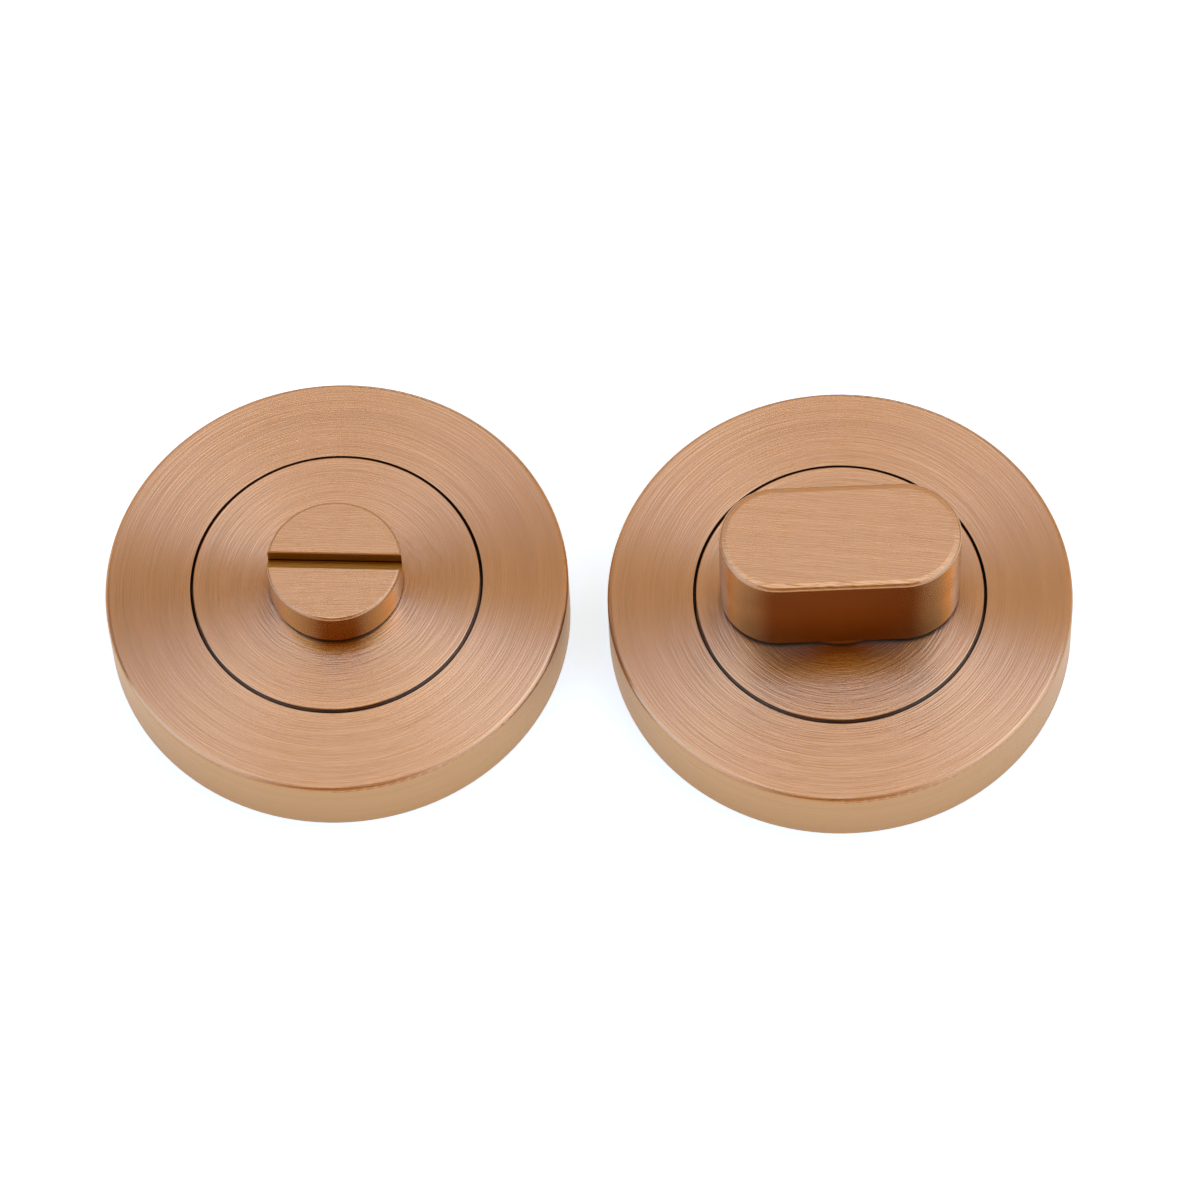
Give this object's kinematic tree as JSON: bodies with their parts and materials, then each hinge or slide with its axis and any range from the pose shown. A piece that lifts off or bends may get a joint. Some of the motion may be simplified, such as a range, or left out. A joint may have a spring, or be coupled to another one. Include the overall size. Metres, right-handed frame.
{
  "type": "bathroom thumb turn lock",
  "caption": "Bathroom door lock set in brushed copper: a round rose with a thumb turn, and a matching rose with a slotted emergency release drum.",
  "frame": {"origin": "midway between the two roses, on the plane of their back faces, which lie against the door or on the table", "axes": "+Z out of the door along both turning axes, +X from the release rose to the thumb turn rose, +Y along the back faces"},
  "size_m": [0.1084, 0.052, 0.0213],
  "materials": {
    "brushed_copper": "brushed",
    "cast_base": "brushed",
    "dark_nylon": "matte",
    "spring_steel": "satin"
  },
  "bodies": {
    "roses": {"turn_cover_ring": "brushed_copper", "turn_base": "cast_base", "turn_bush": "dark_nylon", "turn_wave_washer": "spring_steel", "release_cover_ring": "brushed_copper", "release_base": "cast_base", "release_bush": "dark_nylon", "release_wave_washer": "spring_steel"},
    "turn_head": {"thumb_turn": "brushed_copper", "turn_flat_washer": "spring_steel", "turn_circlip": "spring_steel"},
    "release_head": {"release_drum": "brushed_copper", "release_flat_washer": "spring_steel", "release_circlip": "spring_steel"}
  },
  "joints": [
    {"name": "thumb_turn_pivot", "type": "hinge", "parent": "roses", "child": "turn_head", "pos_m": [0.0282, 0, 0], "axis": [0, 0, 1], "range_deg": [-93.8, 86.2]},
    {"name": "release_pivot", "type": "hinge", "parent": "roses", "child": "release_head", "pos_m": [-0.0282, 0, 0], "axis": [0, 0, 1], "range_deg": [-90, 90]}
  ]
}
